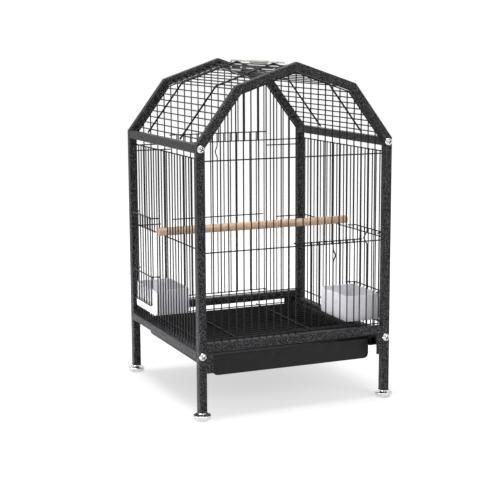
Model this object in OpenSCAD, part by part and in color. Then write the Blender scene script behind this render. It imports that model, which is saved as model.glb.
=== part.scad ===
// Bird cage on four short legs: a square-tube frame with a gambrel roof, wire panels all round,
// wire doors that slide up on guide wires, feeders, a perch, a grate and a pull-out tray.
// Millimetres. X runs to the right, Y to the back, Z up; the origin is on the floor below the middle.

/* [Frame] */
// Width over the posts
cage_w = 330; // [315:5:360]
// Depth over the posts
cage_d = 330; // [315:5:360]
// Height of the eaves, where the posts meet the arches
eave_h = 423; // [410:1:440]
// Height of the ridge
ridge_h = 543; // [530:1:570]
// Distance of the arches' bends from the middle
elbow_x = 100; // [92:2:108]
// Height of the arches' bends
elbow_h = 509; // [503:1:517]
// Side of the square tube
tube = 13; // [12:0.5:14]
// Wall of the square tube
tube_wall = 1; // [0.8:0.1:1.5]
// Height of the underside of the front and back rails
rail_h = 107; // [103:1:111]
// Width of the corner tabs under the front rail
tab_w = 10.6; // [6:0.2:11]
// Width of the stop tabs under the back rail
stop_tab_w = 22; // [16:1:30]
// Height of the front corner tabs
tab_h = 33; // [25:1:38]
// Height of the stop tabs
stop_tab_h = 13; // [12:0.5:20]
// Thickness of the corner tabs
tab_t = 1.5; // [1:0.1:2]

/* [Feet and screws] */
// Diameter of the feet
foot_d = 28; // [22:1:32]
// Height of the feet
foot_h = 12; // [10:0.5:16]
// Diameter of the feet's stems
stem_d = 6; // [4:0.5:7]
// Height of the feet's necks
neck_h = 2.8; // [2:0.1:4]
// Length of a stem inside its plug
stem_l = 13; // [8:1:18]
// Length of the plugs in the legs
plug_l = 18; // [14:1:24]
// Diameter of the frame screws
screw_d = 5; // [4:0.5:6]
// Length of the frame screws under the head
screw_l = 25; // [20:1:27]
// Diameter of the screw heads
screw_head_d = 12.3; // [9:0.1:13]
// Height of the screw heads
screw_head_h = 3.5; // [2.5:0.1:4.5]
// Length of the inserts in the rail ends
insert_l = 15; // [12:1:20]

/* [Wire] */
// Thickness of the cage wire
wire_d = 2; // [1.8:0.1:2.2]
// Distance between the uprights
pitch = 12.5; // [12:0.1:13]
// Thickness of the roof ribs
rib_d = 3; // [2.4:0.2:3.6]
// Distance of each roof rib from the middle
rib_y = 75; // [60:5:90]
// Distance between the roof wires
roof_pitch = 11.5; // [10.5:0.5:13]
// Height of the middle bars of the front and back panels
mid_h = 259; // [243:1:273]
// Height of the middle bars of the side panels
side_mid_h = 263; // [248:1:278]
// Depth of the front and back panels' top bars below the eaves
top_drop = 25; // [22:1:32]
// Depth of the side panels' top bars below the eaves
side_top_drop = 22.5; // [20:0.5:30]

/* [Doors] */
// Sideways shift of the doors' uprights from the panels' uprights
door_shift = 2.4; // [2.4:0.1:3]
// Depth of the kinks that hold a raised door
kink = 4; // [2:0.5:5]
// Height of the back door's top bar above the back panel's top bar
back_door_rise = 14.5; // [8:0.5:18]
// How far the feeder doors bow out
bay = 7.5; // [6:0.5:10]
// How far the left feeder door is raised
left_raise = 20; // [0:1:60]

/* [Feeders and perch] */
// Depth of a feeder, from front to back of the cup
cup_depth = 62.5; // [45:0.5:80]
// Height of the feeders' rims
cup_rim_h = 166.5; // [153:0.5:183]
// Wall of the feeders
cup_wall = 1.5; // [1:0.1:2.5]
// Radius of the feeders' corners
cup_r = 5; // [3:0.5:10]
// Diameter of the perch
perch_d = 13.4; // [10:0.2:16]
// How far the perch sticks out past the side panels' wires
perch_out = 12.5; // [8:0.5:16]

/* [Grate and tray] */
// Height of the tray's underside
tray_h = 65; // [58:1:73]
// Height of the tray's rim
tray_rim_h = 97.5; // [93:0.5:98]
// Wall of the tray
tray_wall = 2; // [1.5:0.1:3]
// Radius of the tray's lower edges
tray_r = 8; // [4:1:12]
// Width of the tray's flanges
flange_w = 5; // [4:0.5:7]
// Width of the runners' ledges
ledge_w = 15.5; // [14:0.5:18]
// Gap between the grate and the posts
grate_gap = 12.5; // [12:0.5:16]

/* [Handle] */
// Thickness of the handle's wire
bail_d = 3; // [2.4:0.2:3.6]
// Front end of the handle
bail_front = 113; // [95:1:120]
// Back end of the handle
bail_back = 112; // [95:1:120]
// Diameter of the grip
grip_d = 7.5; // [7:0.5:9]
// Length of the grip
grip_l = 67; // [60:1:110]
// Distance of the grip's middle in front of the cage's middle
grip_shift = 6; // [0:1:15]
// How far the handle lifts
handle_lift = 8; // [6:1:20]

/* [Hidden] */
$fn = 32;

frame_colour = [0.16, 0.16, 0.18];
wire_colour = [0.1, 0.1, 0.11];
chrome_colour = [0.82, 0.82, 0.84];
cup_colour = [0.85, 0.84, 0.89];
wood_colour = [0.8, 0.62, 0.47];
tray_colour = [0.15, 0.15, 0.16];
grip_colour = [0.9, 0.89, 0.84];

weld_gap = 0.02; // left where wires cross and are welded
seat_gap = 0.3; // between a moving piece and what it rests on
slide_gap = 0.5; // between a sliding piece and its guide
bore_gap = 0.1; // round a stem or a screw

half_w = cage_w / 2;
half_d = cage_d / 2;
inner_x = half_w - tube;
inner_y = half_d - tube;
post_x = half_w - tube / 2;
post_y = half_d - tube / 2;
rail_top = rail_h + tube;
low_h = rail_top + 3;
top_h = eave_h - top_drop;
side_top_h = eave_h - side_top_drop;
wire_r = wire_d / 2;
lap = wire_d + weld_gap;

// Roof lines: the outer line of the right half rises from the eave over the bend to the ridge.
post_foot_h = foot_h + 1.5;
frame_line = [
    [half_w, post_foot_h], [half_w, eave_h], [elbow_x, elbow_h], [0, ridge_h],
    [-elbow_x, elbow_h], [-half_w, eave_h], [-half_w, post_foot_h]
];
upper_slope = (ridge_h - elbow_h) / elbow_x;
steep_slope = (elbow_h - eave_h) / (half_w - elbow_x);
roof_wire_in = tube / 2;
rib_in = roof_wire_in - rib_d / 2 - wire_r - weld_gap;
arch_wire_in = tube + wire_r + 1;

// Counts of uprights on each side of a panel's middle one, and the uprights that guide the doors.
edge_gap = 6;
count_x = floor((inner_x - edge_gap) / pitch);
count_y = floor((inner_y - edge_gap) / pitch);
door_last = 9;
back_guide = 7;
feeder_far = count_y;
feeder_near = count_y - 8;

// Doors: a bar's end turns round its guide wire with a gap all round.
curl_r = wire_d + slide_gap;
door_out = curl_r - lap;
door_low_h = low_h + 4;
door_top_h = mid_h + 5;
back_door_mid_h = mid_h + 6;
back_door_top_h = top_h + back_door_rise;
front_kink_drop = 23.5; // from a door's top bar down to its kink
back_kink_drop = 32.5;
stub_drop = 9.5; // from the back panel's top bar down to the short bars beside the door
stub_start = 22.5; // from the back door's guides to the short middle bars
feeder_foot_h = low_h - 3;
feeder_low_h = cup_rim_h + 3;
feeder_top_h = side_mid_h + 4;
bay_bar = bay + lap;
pull_drop = 20; // how far a feeder door's pull hangs below its lower bar

cup_out = bay - wire_r - slide_gap;
cup_gap = wire_r + 1;
cup_floor_h = low_h + wire_r + seat_gap;
ear_low_h = low_h + 4;
ear_top_h = cup_rim_h - 3.5;

perch_r = perch_d / 2;
perch_h = side_mid_h + wire_r + seat_gap + perch_r;
perch_end = post_x + perch_out;
perch_slot = wire_d + 2 * seat_gap;

// Grate and tray on their ledges.
runner_t = 2;
ledge_t = 1.5;
ledge_drop = 10; // from the tray's rim down to the ledge that carries it
rim_gap = 1; // round the tray, beside and above its rim
grate_ledge_more = 2; // how much wider the grate's ledge is
end_gap = 2; // between a runner's end and the rail across it
tray_ledge_h = tray_rim_h - ledge_drop;
grate_ledge_h = tray_rim_h + rim_gap;
runner_half = inner_y - end_gap;
tray_half_w = inner_x - ledge_w - rim_gap;
tray_half_d = runner_half - end_gap;
skirt_t = 1.2;
grate_half_w = inner_x - grate_gap;
grate_low_h = grate_ledge_h + ledge_t + seat_gap + wire_r;
grate_rib_x = 67;

// Handle: it lies on the ribs, half a wire space to the right of the ridge wire.
function unit(v) = v / norm(v);
function left_of(v) = [-v[1], v[0]];
function side_of(path, i) = left_of(unit(path[i + 1] - path[i]));
// A path's corner i, moved inwards by t
function corner(path, i, t) =
    i == 0 ? path[0] + t * side_of(path, 0)
    : i == len(path) - 1 ? path[i] + t * side_of(path, i - 1)
    : let (a = side_of(path, i - 1), b = side_of(path, i)) path[i] + t * (a + b) / (1 + a * b);
// The mitred strip along stretch i of a path, between t0 and t1 inwards, longer by more at each end
function strip(path, i, t0, t1, more = 0) =
    let (along = more * unit(path[i + 1] - path[i]))
    [corner(path, i, t0) - along, corner(path, i + 1, t0) + along,
     corner(path, i + 1, t1) + along, corner(path, i, t1) - along];
// Height of the roof's line at x, t inwards
function roof_h(x, t) = abs(x) < corner(frame_line, 2, t)[0]
    ? ridge_h - abs(x) * upper_slope - t * norm([1, upper_slope])
    : eave_h + (half_w - abs(x)) * steep_slope - t * norm([1, steep_slope]);
function arc(x, y, r, from, to, steps = 6) =
    [for (k = [0 : steps]) let (a = from + (to - from) * k / steps) [x + r * cos(a), y + r * sin(a)]];
function rounded(x0, y0, x1, y1, r) = concat(
    arc(x1 - r, y1 - r, r, 0, 90), arc(x0 + r, y1 - r, r, 90, 180),
    arc(x0 + r, y0 + r, r, 180, 270), arc(x1 - r, y0 + r, r, 270, 360));

roof_ridge = [0, roof_h(0, roof_wire_in)];
roof_elbow = corner(frame_line, 2, roof_wire_in);
upper_count = round(norm(roof_elbow - roof_ridge) / roof_pitch);
steep_down = unit(corner(frame_line, 1, roof_wire_in) - roof_elbow) * roof_pitch;
steep_count = floor((eave_h + 4 - roof_elbow[1]) / steep_down[1]);
handle_x = (roof_elbow[0] - roof_ridge[0]) / upper_count / 2;
bail_h = roof_h(handle_x, rib_in - rib_d / 2 - seat_gap - bail_d / 2);
hook_h = roof_h(handle_x, rib_in) - rib_d * 0.55 - bail_d / 2 - slide_gap - handle_lift;
bail_bend = 5; // size of the slanted corners
hook_reach = 6; // from a rib's middle to the end of the hook's level part
tip_slant = 3; // how far a hook's tip leans

// ---- Shared shapes ----

// A flat shape in X and Z, given thickness from y0 to y1
module plate(y0, y1) {
    translate([0, y1, 0]) rotate([90, 0, 0]) linear_extrude(y1 - y0) children();
}

// One mitred hollow tube of the frame, its front face at y0
module frame_tube(i, y0, seam = 0) {
    difference() {
        plate(y0, y0 + tube) polygon(strip(frame_line, i, 0, tube, -seam));
        plate(y0 + tube_wall, y0 + tube - tube_wall)
            polygon(strip(frame_line, i, tube_wall, tube - tube_wall, 1));
    }
}

// A straight hollow tube along Y, centred on x and z
module rail_y(x, z) {
    difference() {
        translate([x - tube / 2, -inner_y, z - tube / 2]) cube([tube, 2 * inner_y, tube]);
        translate([x - tube / 2 + tube_wall, -inner_y - 1, z - tube / 2 + tube_wall])
            cube([tube - 2 * tube_wall, 2 * inner_y + 2, tube - 2 * tube_wall]);
    }
}

// A straight hollow tube along X, its lower front edge at y0 and z0
module rail_x(y0, z0) {
    difference() {
        translate([-inner_x, y0, z0]) cube([2 * inner_x, tube, tube]);
        translate([-inner_x - 1, y0 + tube_wall, z0 + tube_wall])
            cube([2 * inner_x + 2, tube - 2 * tube_wall, tube - 2 * tube_wall]);
    }
}

module along_y(x, y0, y1, z, d) {
    translate([x, y1, z]) rotate([90, 0, 0]) cylinder(h = y1 - y0, d = d);
}

// A bent wire in the XY plane: mitred straight lengths, a weld gap apart
module bent_wire(path, d) {
    for (i = [0 : len(path) - 2]) {
        step = path[i + 1] - path[i];
        intersection() {
            translate([path[i][0], path[i][1], 0])
                rotate([0, 0, atan2(step[1], step[0])])
                    translate([-d, 0, 0])
                        rotate([0, 90, 0]) cylinder(h = norm(step) + 2 * d, d = d);
            translate([0, 0, -d]) linear_extrude(2 * d) polygon(strip(path, i, -d, d, -weld_gap / 2));
        }
    }
}

// Panels are drawn with X along the panel, Y inwards from the wires' plane, and Z up.
module at_front() {
    translate([0, -post_y, 0]) children();
}

module at_back() {
    rotate([0, 0, 180]) translate([0, -post_y, 0]) children();
}

module at_right() {
    rotate([0, 0, 90]) translate([0, -post_x, 0]) children();
}

module at_left() {
    rotate([0, 0, -90]) translate([0, -post_x, 0]) children();
}

// An upright at x, out from the wires' plane
module upright(x, z0, z1, out = 0) {
    translate([x, -out, z0]) cylinder(h = z1 - z0, d = wire_d);
}

// An upright with a kink sideways at the height kink_h
module kinked_upright(x, z0, z1, kink_h, side, out = 0) {
    half = 10;
    translate([0, -out, 0]) rotate([90, 0, 0])
        bent_wire([[x, z0], [x, kink_h - half], [x + side, kink_h], [x, kink_h + half], [x, z1]], wire_d);
}

module bar(x0, x1, z, out) {
    translate([x0, -out, z]) rotate([0, 90, 0]) cylinder(h = x1 - x0, d = wire_d);
}

// A half turn round a guide wire, from the side start to the side start + 180
module curl(x, z, start) {
    translate([x, 0, z]) rotate([0, 0, start])
        rotate_extrude(angle = 180) translate([curl_r, 0]) circle(d = wire_d);
}

// A door bar whose two ends turn round the guide wires at x0 and x1
module curled_bar(x0, x1, z) {
    bar(x0, x1, z, curl_r);
    curl(x0, z, 90);
    curl(x1, z, -90);
}

// ---- Frame ----

screw_heights = [rail_h - tube / 2, eave_h - tube / 2];
sockets = [low_h, side_mid_h, side_top_h];
socket_deep = 3;

// Post on side -1 or 1 in X and in Y
module post(sx, sy) {
    color(frame_colour) difference() {
        frame_tube(sx > 0 ? 0 : 5, sy > 0 ? inner_y : -half_d);
        for (z = screw_heights)
            along_y(sx * post_x, sy * post_y - tube, sy * post_y + tube, z, screw_d + bore_gap);
        for (z = sockets)
            along_y(sx * (post_x - lap), sy * inner_y - 2, sy * inner_y + 2, z, wire_d + bore_gap);
    }
}

module arch(y0) {
    color(frame_colour) for (i = [1 : 4]) frame_tube(i, y0, weld_gap / 2);
}

module corner_tab(x0, x1, y0, height) {
    color(frame_colour) translate([x0, y0, rail_h - height]) cube([x1 - x0, tab_t, height]);
}

module corner_tabs() {
    corner_tab(-inner_x, -inner_x + tab_w, -half_d, tab_h);
    corner_tab(inner_x - tab_w, inner_x, -half_d, tab_h);
}

module rear_stops() {
    corner_tab(-inner_x, -inner_x + stop_tab_w, half_d - tab_t, stop_tab_h);
    corner_tab(inner_x - stop_tab_w, inner_x, half_d - tab_t, stop_tab_h);
}

// Plastic plugs close the legs' lower ends and hold the feet's stems
module leg_plugs() {
    inside = tube - 2 * tube_wall - bore_gap;
    color(tray_colour) for (sx = [-1, 1], sy = [-1, 1]) translate([sx * post_x, sy * post_y, foot_h])
        difference() {
            union() {
                translate([-inside / 2, -inside / 2, 1]) cube([inside, inside, plug_l]);
                translate([-tube / 2, -tube / 2, 0]) cube([tube, tube, post_foot_h - foot_h]);
            }
            translate([0, 0, -1]) cylinder(h = stem_l + 2, d = stem_d + 2 * bore_gap);
        }
}

// Threaded inserts in the ends of the eave and side rails
module rail_inserts() {
    inside = tube - 2 * tube_wall - bore_gap;
    color(tray_colour) for (sx = [-1, 1], sy = [-1, 1], z = screw_heights)
        translate([sx * post_x, sy * (inner_y - insert_l / 2), z]) difference() {
            cube([inside, insert_l, inside], center = true);
            along_y(0, -insert_l, insert_l, 0, screw_d);
        }
}

// Domed screw with a cross recess, its head on the plane y = 0 and its shank towards +Y
module frame_screw() {
    dome_r = (pow(screw_head_d / 2, 2) + pow(screw_head_h, 2)) / (2 * screw_head_h);
    recess = screw_head_d * 0.45;
    color(chrome_colour) difference() {
        union() {
            rotate([90, 0, 0]) intersection() {
                translate([0, 0, screw_head_h - dome_r]) sphere(r = dome_r, $fn = 48);
                cylinder(h = screw_head_h + 1, d = screw_head_d);
            }
            along_y(0, 0, screw_l, 0, screw_d - bore_gap);
        }
        for (turn = [0, 90]) rotate([0, turn, 0])
            translate([-recess / 2, -screw_head_h - 1, -0.7]) cube([recess, 2.6, 1.4]);
    }
}

module front_screws() {
    for (sx = [-1, 1], z = screw_heights) translate([sx * post_x, -half_d, z]) frame_screw();
}

module back_screws() {
    rotate([0, 0, 180]) front_screws();
}

// Runner under one side rail: the lower ledge carries the tray's flange, the upper one the grate
module tray_runner(side) {
    outer = inner_x - runner_t;
    wide = ledge_w + grate_ledge_more;
    color(frame_colour) mirror([side < 0 ? 1 : 0, 0, 0]) plate(-runner_half, runner_half) union() {
        translate([outer, tray_ledge_h - ledge_t]) square([runner_t, rail_h - tray_ledge_h + ledge_t]);
        translate([inner_x - ledge_w, tray_ledge_h - ledge_t]) square([ledge_w, ledge_t]);
        translate([inner_x - wide, grate_ledge_h]) square([wide, ledge_t]);
    }
}

// ---- Wire panels ----

function arch_end(x) = roof_h(x, arch_wire_in) + wire_r;

module front_uprights() {
    detent = door_last + 1;
    color(wire_colour) at_front() for (i = [-count_x : count_x]) {
        x = i * pitch;
        over_door = i > 0 && i < door_last;
        if (i == detent) kinked_upright(x, rail_top, arch_end(x), mid_h + 6, -1.5 * kink);
        else upright(x, over_door ? mid_h - wire_r : rail_top, arch_end(x));
    }
}

module front_bars() {
    color(wire_colour) at_front() for (z = [low_h, mid_h, top_h]) bar(-inner_x, inner_x, z, -lap);
}

module back_uprights() {
    color(wire_colour) at_back() for (i = [-count_x : count_x]) {
        x = i * pitch;
        upright(x, abs(i) < back_guide ? top_h - wire_r : rail_top, arch_end(x));
    }
}

module back_bars() {
    stub_x = back_guide * pitch;
    color(wire_colour) at_back() {
        bar(-inner_x, inner_x, low_h, -lap);
        bar(-inner_x, inner_x, top_h, -lap);
        for (sx = [0, 1]) mirror([sx, 0, 0]) {
            bar(stub_x + curl_r, inner_x, top_h - stub_drop, -lap);
            bar(stub_x + stub_start, inner_x, mid_h, -lap);
        }
    }
}

module side_uprights() {
    color(wire_colour) for (i = [-count_y : count_y]) {
        x = i * pitch;
        if (i > -feeder_far && i < -feeder_near) {
            upright(x, rail_h, low_h + wire_r);
            upright(x, side_mid_h - wire_r, side_top_h + wire_r);
        } else upright(x, rail_h, side_top_h + wire_r);
    }
}

module side_bars() {
    reach = inner_y + socket_deep;
    color(wire_colour) for (z = sockets) bar(-reach, reach, z, -lap);
}

// Bent wires just inside the arches, which the uprights' upper ends are welded to
module arch_wires() {
    ends = [for (i = [1 : 5]) corner(frame_line, i, arch_wire_in)];
    stop_x = inner_x - wire_r;
    path = [
        [stop_x, roof_h(stop_x, arch_wire_in)], ends[1], ends[2], ends[3],
        [-stop_x, roof_h(stop_x, arch_wire_in)]
    ];
    color(wire_colour) for (turn = [0, 180]) rotate([0, 0, turn])
        translate([0, -post_y + lap, 0]) rotate([90, 0, 0]) bent_wire(path, wire_d);
}

module ridge_wire() {
    color(wire_colour) along_y(0, -inner_y, inner_y, roof_ridge[1], wire_d);
}

module roof_wires(side) {
    places = concat(
        [for (k = [1 : upper_count]) roof_ridge + (roof_elbow - roof_ridge) * k / upper_count],
        [for (k = [1 : steep_count]) roof_elbow + steep_down * k]);
    color(wire_colour) for (p = places) along_y(side * p[0], -inner_y, inner_y, p[1], wire_d);
}

module roof_ribs() {
    foot = eave_h + weld_gap + rib_d / 2;
    foot_x = half_w - (foot - eave_h + rib_in * norm([1, steep_slope])) / steep_slope;
    path = [
        [foot_x, foot], corner(frame_line, 2, rib_in), corner(frame_line, 3, rib_in),
        corner(frame_line, 4, rib_in), [-foot_x, foot]
    ];
    color(wire_colour) for (sy = [-1, 1])
        translate([0, sy * rib_y, 0]) rotate([90, 0, 0]) bent_wire(path, rib_d);
}

// ---- Feeders ----

// Open cup behind a feeder door, with ears that grip the guide wires
module feeder_cup() {
    x0 = -feeder_far * pitch + cup_gap;
    x1 = -feeder_near * pitch - cup_gap;
    ear = cup_gap + wire_r;
    ear_out = wire_r + seat_gap;
    color(cup_colour) union() {
        difference() {
            translate([0, 0, cup_floor_h]) linear_extrude(cup_rim_h - cup_floor_h)
                polygon(rounded(x0, -cup_out, x1, cup_depth - cup_out, cup_r));
            translate([0, 0, cup_floor_h + cup_wall]) linear_extrude(cup_rim_h)
                polygon(rounded(x0 + cup_wall, cup_wall - cup_out, x1 - cup_wall,
                                cup_depth - cup_out - cup_wall, cup_r - cup_wall));
        }
        for (x = [x0 - ear, x1 - cup_wall / 2], y = [-ear_out - 1.5, ear_out])
            translate([x, y, ear_low_h]) cube([ear + cup_wall / 2, 1.5, ear_top_h - ear_low_h]);
    }
}

// ---- Doors ----

module front_door() {
    last_x = door_last * pitch;
    held = round(door_last / 2) - 1;
    color(wire_colour) at_front() {
        curled_bar(0, last_x, door_low_h);
        curled_bar(0, last_x, door_top_h);
        for (i = [1 : door_last - 1]) {
            x = i * pitch + door_shift;
            low = door_low_h - wire_r;
            top = door_top_h + wire_r;
            if (i == held + 1)
                kinked_upright(x, low, top, door_top_h - front_kink_drop, kink, door_out);
            else upright(x, low, top, door_out);
        }
    }
}

module back_door() {
    side_x = back_guide * pitch;
    color(wire_colour) at_back() {
        curled_bar(-side_x, side_x, door_low_h);
        bar(-side_x + 1.5, side_x - 1.5, back_door_mid_h, curl_r);
        curled_bar(-side_x, side_x, back_door_top_h);
        for (i = [1 - back_guide : back_guide - 1]) {
            x = i * pitch + door_shift;
            low = door_low_h - wire_r;
            top = back_door_top_h + wire_r;
            if (i == 0)
                kinked_upright(x, low, top, back_door_top_h - back_kink_drop, kink, door_out);
            else upright(x, low, top, door_out);
        }
    }
}

// A feeder door's bar: it runs across the bay, turns in at both ends and hooks round the guides
module bay_bar_wire(z) {
    x0 = -feeder_far * pitch;
    x1 = -feeder_near * pitch;
    translate([0, 0, z]) bent_wire(
        [[x0 + curl_r, 0], [x0 + curl_r, -bay_bar], [x1 - curl_r, -bay_bar], [x1 - curl_r, 0]], wire_d);
    curl(x0, z, 0);
    curl(x1, z, 0);
}

module feeder_door(raise) {
    first = -feeder_far + 1;
    last = -feeder_near - 1;
    color(wire_colour) translate([0, 0, raise]) {
        bay_bar_wire(feeder_low_h);
        bay_bar_wire(feeder_top_h);
        bar(first * pitch - wire_r, last * pitch + wire_r, feeder_foot_h, bay_bar);
        for (i = [first : last])
            upright(i * pitch, feeder_foot_h - wire_r, feeder_top_h + wire_r, bay);
        upright((last + 0.6) * pitch, feeder_low_h - pull_drop, feeder_low_h + wire_r, bay);
    }
}

// ---- Loose pieces ----

module perch() {
    color(wood_colour) difference() {
        translate([-perch_end, 0, perch_h]) rotate([0, 90, 0])
            cylinder(h = 2 * perch_end, d = perch_d, $fn = 48);
        for (sx = [-1, 1]) translate([sx * (perch_end + post_x - 3.5) / 2, 0, perch_h])
            cube([perch_end - post_x + 3.5 + 0.01, perch_slot, perch_d + 2], center = true);
    }
}

module grate() {
    reach_y = tray_half_d - wire_r;
    rows = floor(2 * reach_y / pitch);
    color(wire_colour) {
        for (x = [-grate_half_w + wire_r, -grate_rib_x, grate_rib_x, grate_half_w - wire_r])
            along_y(x, -tray_half_d, tray_half_d, grate_low_h + lap, wire_d);
        for (k = [0 : rows])
            translate([-grate_half_w, -reach_y + 2 * reach_y * k / rows, grate_low_h])
                rotate([0, 90, 0]) cylinder(h = 2 * grate_half_w, d = wire_d);
    }
}

// Cross-section of the tray's trough, w to each side, from z0 up to z1
function trough(w, z0, z1, r) = concat(
    [[w, z1], [-w, z1]], arc(r - w, z0 + r, r, 180, 270), arc(w - r, z0 + r, r, 270, 360));

module tray() {
    flange_x = tray_half_w + flange_w;
    skirt_low = tray_ledge_h + seat_gap;
    color(tray_colour) difference() {
        plate(-tray_half_d, tray_half_d) union() {
            polygon(trough(tray_half_w, tray_h, tray_rim_h, tray_r));
            translate([-flange_x, tray_rim_h - 1.5]) square([2 * flange_x, 1.5]);
            for (x = [-flange_x, flange_x - skirt_t])
                translate([x, skirt_low]) square([skirt_t, tray_rim_h - skirt_low]);
        }
        plate(tray_wall - tray_half_d, tray_half_d - tray_wall)
            polygon(trough(tray_half_w - tray_wall, tray_h + tray_wall, tray_rim_h + 1, tray_r - tray_wall));
    }
}

// Chrome wire along the ridge. Its ends drop between the roof wires and come back under the ribs.
module handle_bail() {
    tip_y = rib_y - hook_reach;
    bend = bail_bend;
    path = [
        [tip_slant - tip_y, hook_h + bend], [-tip_y, hook_h], [bend - bail_front, hook_h],
        [-bail_front, hook_h + bend], [-bail_front, bail_h - bend], [bend - bail_front, bail_h],
        [bail_back - bend, bail_h], [bail_back, bail_h - bend], [bail_back, hook_h + bend],
        [bail_back - bend, hook_h], [tip_y, hook_h], [tip_y - tip_slant, hook_h + bend]
    ];
    color(chrome_colour) translate([handle_x, 0, 0]) rotate([90, 0, 90]) bent_wire(path, bail_d);
}

module handle_grip() {
    edge = 1;
    r = grip_d / 2;
    color(grip_colour) translate([handle_x, grip_l / 2 - grip_shift, bail_h]) rotate([90, 0, 0])
        difference() {
            rotate_extrude($fn = 48) polygon([
                [0, 0], [r - edge, 0], [r, edge], [r, grip_l - edge], [r - edge, grip_l], [0, grip_l]
            ]);
            translate([0, 0, -1]) cylinder(h = grip_l + 2, d = bail_d + 2 * bore_gap);
        }
}

// Screw-in glide: a chrome bowl, widest below its rim, a short neck and a stem that turns in the plug
module foot(sx, sy) {
    r = foot_d / 2;
    neck_top = foot_h - seat_gap;
    bowl = foot_h - neck_h;
    profile = [
        [0, 0], [r * 0.6, 0], [r * 0.78, bowl * 0.1], [r * 0.91, bowl * 0.28], [r * 0.98, bowl * 0.5],
        [r, bowl * 0.7], [r, bowl * 0.86], [r * 0.97, bowl * 0.96], [r * 0.9, bowl],
        [r * 0.42, bowl], [r * 0.34, bowl + 0.7], [r * 0.34, neck_top],
        [stem_d / 2, neck_top], [stem_d / 2, foot_h + stem_l - 1], [stem_d / 2 - 1, foot_h + stem_l],
        [0, foot_h + stem_l]
    ];
    color(chrome_colour) translate([sx * post_x, sy * post_y, 0]) rotate_extrude($fn = 64) polygon(profile);
}

post(-1, -1);  // post_front_left
post(1, -1);  // post_front_right
post(-1, 1);  // post_back_left
post(1, 1);  // post_back_right
arch(-half_d);  // front_arch
arch(inner_y);  // back_arch
color(frame_colour) rail_y(-post_x, screw_heights[1]);  // eave_rail_left
color(frame_colour) rail_y(post_x, screw_heights[1]);  // eave_rail_right
color(frame_colour) rail_x(-half_d, rail_h);  // front_rail
color(frame_colour) rail_x(inner_y, rail_h);  // back_rail
color(frame_colour) rail_y(-post_x, screw_heights[0]);  // side_rail_left
color(frame_colour) rail_y(post_x, screw_heights[0]);  // side_rail_right
corner_tabs();
rear_stops();
leg_plugs();
rail_inserts();
front_screws();
back_screws();
tray_runner(-1);  // tray_runner_left
tray_runner(1);  // tray_runner_right
front_uprights();
front_bars();
back_uprights();
back_bars();
at_left() side_uprights();  // left_uprights
at_left() side_bars();  // left_bars
at_right() side_uprights();  // right_uprights
at_right() side_bars();  // right_bars
arch_wires();
ridge_wire();
roof_wires(-1);  // roof_wires_left
roof_wires(1);  // roof_wires_right
roof_ribs();
at_left() feeder_cup();  // feeder_cup_left
at_right() feeder_cup();  // feeder_cup_right
front_door();
back_door();
at_left() feeder_door(left_raise);  // feeder_door_left
at_right() feeder_door(0);  // feeder_door_right
perch();
grate();
tray();
handle_bail();
handle_grip();
foot(-1, -1);  // foot_front_left
foot(1, -1);  // foot_front_right
foot(-1, 1);  // foot_back_left
foot(1, 1);  // foot_back_right
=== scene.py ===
# Bird cage with a bent roof on four short legs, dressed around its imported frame.
# Metres. X runs to the right, Y to the back, Z up, and the floor is at Z = 0.

import math

import bpy
from mathutils import Matrix, Vector


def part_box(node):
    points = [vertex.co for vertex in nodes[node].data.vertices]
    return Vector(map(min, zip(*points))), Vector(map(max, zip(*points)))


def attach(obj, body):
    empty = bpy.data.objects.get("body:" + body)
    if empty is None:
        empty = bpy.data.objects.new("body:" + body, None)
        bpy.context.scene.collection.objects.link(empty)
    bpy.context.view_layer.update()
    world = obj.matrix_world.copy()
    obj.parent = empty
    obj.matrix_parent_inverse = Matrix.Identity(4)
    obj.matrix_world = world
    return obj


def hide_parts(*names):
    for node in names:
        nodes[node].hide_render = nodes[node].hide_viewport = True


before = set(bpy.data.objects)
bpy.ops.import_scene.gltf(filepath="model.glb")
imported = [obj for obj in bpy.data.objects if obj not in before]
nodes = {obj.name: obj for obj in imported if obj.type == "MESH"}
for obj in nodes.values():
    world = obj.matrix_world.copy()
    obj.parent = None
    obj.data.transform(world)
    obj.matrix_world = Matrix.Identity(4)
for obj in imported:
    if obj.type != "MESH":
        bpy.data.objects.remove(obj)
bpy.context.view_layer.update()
mm = 0.001
tiny = 0.001 * mm
print("frame loaded:", len(nodes), "nodes")


# Modelling helpers

def clearSelection():
    if bpy.context.object and bpy.context.object.mode == "EDIT":
        bpy.ops.object.mode_set(mode="OBJECT")
    bpy.ops.object.select_all(action="DESELECT")


def activate(piece):
    clearSelection()
    piece.select_set(True)
    bpy.context.view_layer.objects.active = piece


def applyPlace(piece):
    activate(piece)
    bpy.ops.object.transform_apply(location=True, rotation=True, scale=True)


def startPick(piece, kind):
    activate(piece)
    bpy.ops.object.mode_set(mode="EDIT")
    bpy.ops.mesh.select_mode(type=kind)
    bpy.ops.mesh.select_all(action="DESELECT")
    bpy.ops.object.mode_set(mode="OBJECT")


def pickEdges(piece, wanted):
    # edit mode stays on, with the edges selected whose two ends pass the test
    startPick(piece, "EDGE")
    spots = piece.data.vertices
    for edge in piece.data.edges:
        edge.select = wanted(spots[edge.vertices[0]].co, spots[edge.vertices[1]].co)
    bpy.ops.object.mode_set(mode="EDIT")


def pickFaces(piece, wanted):
    # the same for faces, by their middle and normal
    startPick(piece, "FACE")
    for face in piece.data.polygons:
        face.select = wanted(face.center, face.normal)
    bpy.ops.object.mode_set(mode="EDIT")


def roundEdges(piece, wanted, width, steps):
    pickEdges(piece, wanted)
    bpy.ops.mesh.bevel(offset=width, segments=steps, affect="EDGES")
    bpy.ops.object.mode_set(mode="OBJECT")


def joinPieces(name, parts):
    clearSelection()
    for part in parts:
        part.select_set(True)
    bpy.context.view_layer.objects.active = parts[0]
    if len(parts) > 1:
        bpy.ops.object.join()
    parts[0].name = name
    return parts[0]


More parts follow.
